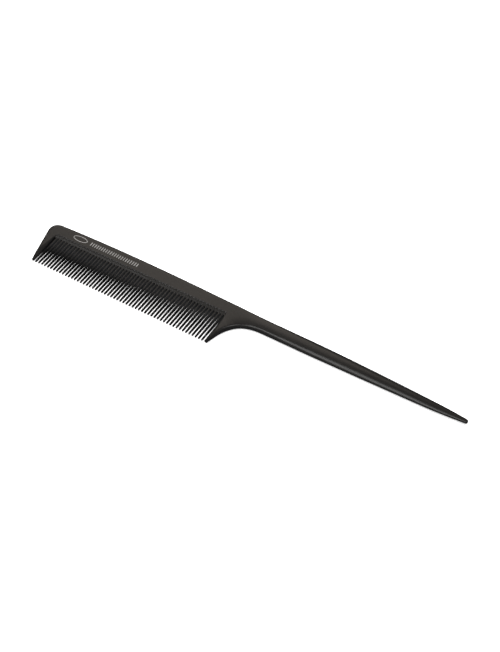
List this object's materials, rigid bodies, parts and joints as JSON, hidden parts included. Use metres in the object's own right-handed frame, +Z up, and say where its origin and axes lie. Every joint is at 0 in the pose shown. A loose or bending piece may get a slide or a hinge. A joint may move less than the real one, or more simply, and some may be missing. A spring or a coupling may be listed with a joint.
{
  "type": "rat tail comb",
  "caption": "Flat fine-tooth styling comb with a solid back, a wide guard tooth at each end and a long, slim, tapering tail with a blunt tip.",
  "frame": {"origin": "bottom centre of the bounding box, on the surface that the comb lies on", "axes": "+X from the comb head towards the tip of the tail, +Y from the tooth tips towards the back edge, +Z up through the thickness"},
  "size_m": [0.219, 0.0256, 0.0032],
  "materials": {
    "moulded_plastic": "satin black carbon-filled moulded plastic with a fine grain",
    "mark_ink": "thin matt light grey printed ink"
  },
  "bodies": {
    "root": {"spine": "moulded_plastic", "front_guard_tooth": "moulded_plastic", "tooth_01": "moulded_plastic", "tooth_02": "moulded_plastic", "tooth_03": "moulded_plastic", "tooth_04": "moulded_plastic", "tooth_05": "moulded_plastic", "tooth_06": "moulded_plastic", "tooth_07": "moulded_plastic", "tooth_08": "moulded_plastic", "tooth_09": "moulded_plastic", "tooth_10": "moulded_plastic", "tooth_11": "moulded_plastic", "tooth_12": "moulded_plastic", "tooth_13": "moulded_plastic", "tooth_14": "moulded_plastic", "tooth_15": "moulded_plastic", "tooth_16": "moulded_plastic", "tooth_17": "moulded_plastic", "tooth_18": "moulded_plastic", "tooth_19": "moulded_plastic", "tooth_20": "moulded_plastic", "tooth_21": "moulded_plastic", "tooth_22": "moulded_plastic", "tooth_23": "moulded_plastic", "tooth_24": "moulded_plastic", "tooth_25": "moulded_plastic", "tooth_26": "moulded_plastic", "tooth_27": "moulded_plastic", "tooth_28": "moulded_plastic", "tooth_29": "moulded_plastic", "tooth_30": "moulded_plastic", "tooth_31": "moulded_plastic", "tooth_32": "moulded_plastic", "tooth_33": "moulded_plastic", "tooth_34": "moulded_plastic", "tooth_35": "moulded_plastic", "tooth_36": "moulded_plastic", "tooth_37": "moulded_plastic", "tooth_38": "moulded_plastic", "tooth_39": "moulded_plastic", "tooth_40": "moulded_plastic", "tooth_41": "moulded_plastic", "tooth_42": "moulded_plastic", "tooth_43": "moulded_plastic", "tooth_44": "moulded_plastic", "tooth_45": "moulded_plastic", "tooth_46": "moulded_plastic", "tooth_47": "moulded_plastic", "tooth_48": "moulded_plastic", "tooth_49": "moulded_plastic", "tooth_50": "moulded_plastic", "tooth_51": "moulded_plastic", "tooth_52": "moulded_plastic", "tooth_53": "moulded_plastic", "tooth_54": "moulded_plastic", "tooth_55": "moulded_plastic", "rear_guard_tooth": "moulded_plastic", "tail_handle": "moulded_plastic", "printed_mark": "mark_ink"}
  },
  "joints": []
}
